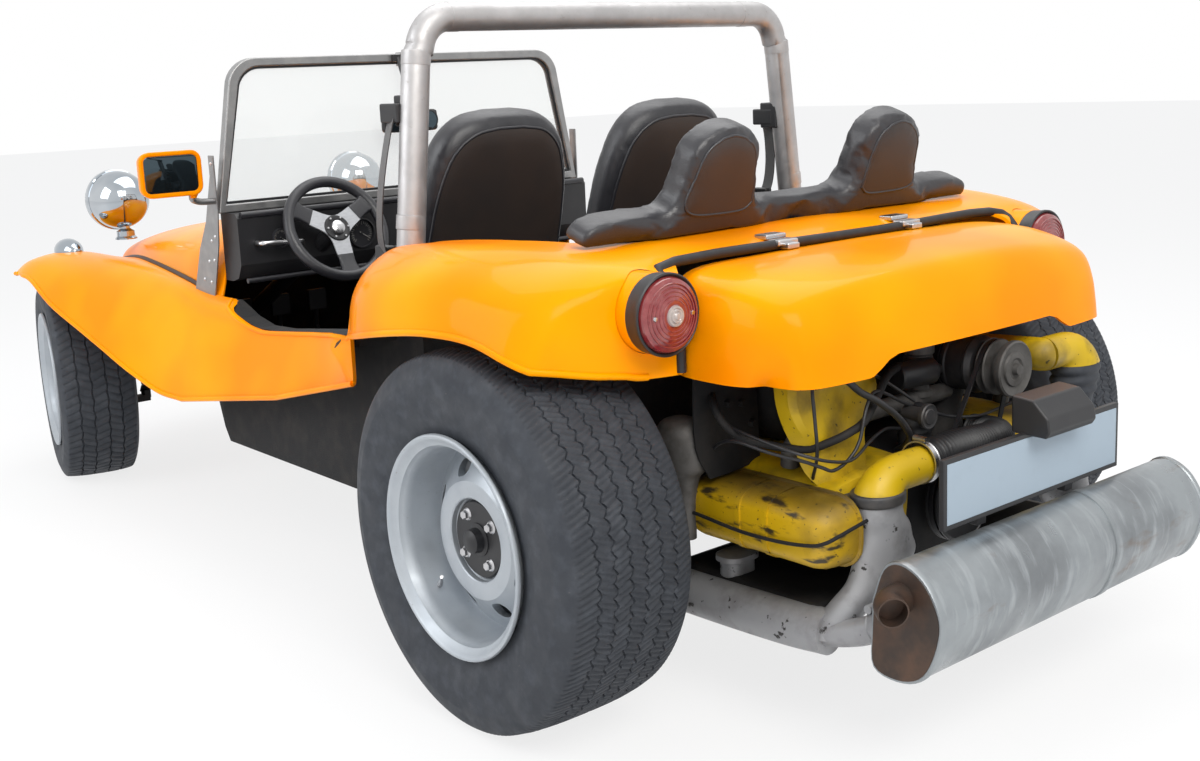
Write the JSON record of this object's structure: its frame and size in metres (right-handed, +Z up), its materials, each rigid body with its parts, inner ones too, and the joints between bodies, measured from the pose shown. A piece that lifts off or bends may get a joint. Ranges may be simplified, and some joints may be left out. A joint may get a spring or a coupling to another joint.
{
  "type": "dune buggy",
  "caption": "Open four-seat dune buggy with a moulded orange shell, hinged tail lid, steered front wheels and an exposed rear engine.",
  "frame": {"origin": "on the ground under the middle of the vehicle's length and width", "axes": "-Y is the front of the vehicle, +Y the rear with the engine, +X its left (driver's) side, +Z up"},
  "size_m": [1.6714, 3.573, 1.3416],
  "materials": {
    "body_gloss": "gloss",
    "bonnet_gloss": "gloss",
    "lid_gloss": "gloss",
    "tub_black": "matte",
    "dash_black": "matte",
    "grip_black": "satin",
    "column_black": "satin",
    "frame_grey": "satin",
    "clear_glass": "polished",
    "bar_steel": "polished",
    "vinyl_left": "satin",
    "vinyl_right": "satin",
    "vinyl_bench": "satin",
    "levers_black": "satin",
    "pedals_black": "satin",
    "mirror_black": "satin",
    "mirror_orange": "gloss",
    "lamp_chrome": "polished",
    "indicator_chrome": "polished",
    "lens_red": "gloss",
    "knuckle_black": "matte",
    "tyre_black": "matte",
    "rim_alloy": "polished",
    "beam_black": "satin",
    "axle_black": "matte",
    "case_dark": "oily",
    "shroud_black": "satin",
    "tin_yellow": "worn",
    "duct_yellow": "worn",
    "pipe_steel": "worn",
    "alternator_dark": "worn",
    "muffler_steel": "worn",
    "plate_blank": "satin"
  },
  "bodies": {
    "chassis": {"body_shell": "body_gloss", "bonnet": "bonnet_gloss", "floor_tub": "tub_black", "dashboard": "dash_black", "steering_column": "column_black", "windscreen_frame": "frame_grey", "windscreen_glass": "clear_glass", "roll_bar": "bar_steel", "seat_left": "vinyl_left", "seat_right": "vinyl_right", "rear_bench": "vinyl_bench", "tunnel_controls": "levers_black", "pedals": "pedals_black", "interior_mirror": "mirror_black", "side_mirror": "mirror_orange", "headlight_left": "lamp_chrome", "headlight_right": "lamp_chrome", "indicator_left": "indicator_chrome", "indicator_right": "indicator_chrome", "tail_light_left": "lens_red", "tail_light_right": "lens_red", "front_beam": "beam_black", "rear_axle": "axle_black", "engine_case": "case_dark", "fan_shroud": "shroud_black", "cylinder_bank_left": "tin_yellow", "cylinder_bank_right": "tin_yellow", "heater_duct_left": "duct_yellow", "heater_duct_right": "duct_yellow", "heat_pipe_left": "pipe_steel", "heat_pipe_right": "pipe_steel", "alternator": "alternator_dark", "muffler": "muffler_steel", "number_plate": "plate_blank"},
    "engine_lid": {"engine_lid": "lid_gloss"},
    "steering_wheel": {"steering_wheel": "grip_black"},
    "knuckle_left": {"knuckle_left": "knuckle_black"},
    "knuckle_right": {"knuckle_right": "knuckle_black"},
    "wheel_front_left": {"tyre_front_left": "tyre_black", "rim_front_left": "rim_alloy"},
    "wheel_front_right": {"tyre_front_right": "tyre_black", "rim_front_right": "rim_alloy"},
    "wheel_rear_left": {"tyre_rear_left": "tyre_black", "rim_rear_left": "rim_alloy"},
    "wheel_rear_right": {"tyre_rear_right": "tyre_black", "rim_rear_right": "rim_alloy"}
  },
  "joints": [
    {"name": "steer_left", "type": "hinge", "parent": "chassis", "child": "knuckle_left", "pos_m": [0.5, -1.3285, 0.316], "axis": [0, 0, 1], "range_deg": [-15, 41]},
    {"name": "steer_right", "type": "hinge", "parent": "chassis", "child": "knuckle_right", "pos_m": [-0.5, -1.3285, 0.316], "axis": [0, 0, 1], "range_deg": [-15, 41]},
    {"name": "steering_wheel_turn", "type": "hinge", "parent": "chassis", "child": "steering_wheel", "pos_m": [0.335, -0.1865, 0.817], "axis": [0, 0.891, 0.454], "range_deg": [-215, 580]},
    {"name": "front_left_spin", "type": "hinge", "parent": "knuckle_left", "child": "wheel_front_left", "pos_m": [0.61887, -1.35594, 0.316], "axis": [0.9744, -0.225, 0], "continuous": true},
    {"name": "front_right_spin", "type": "hinge", "parent": "knuckle_right", "child": "wheel_front_right", "pos_m": [-0.61887, -1.30106, 0.316], "axis": [0.9744, -0.225, 0], "continuous": true},
    {"name": "rear_left_spin", "type": "hinge", "parent": "chassis", "child": "wheel_rear_left", "pos_m": [0.69, 1.0215, 0.357], "axis": [1, 0, 0], "continuous": true},
    {"name": "rear_right_spin", "type": "hinge", "parent": "chassis", "child": "wheel_rear_right", "pos_m": [-0.69, 1.0215, 0.357], "axis": [1, 0, 0], "continuous": true},
    {"name": "lid_hinge", "type": "hinge", "parent": "chassis", "child": "engine_lid", "pos_m": [0, 1.241, 0.86], "axis": [1, 0, 0], "range_deg": [0, 65]}
  ],
  "couplings": [
    {"joint": "steer_right", "follows": "steer_left", "ratio": 1},
    {"joint": "steering_wheel_turn", "follows": "steer_left", "ratio": 14}
  ]
}
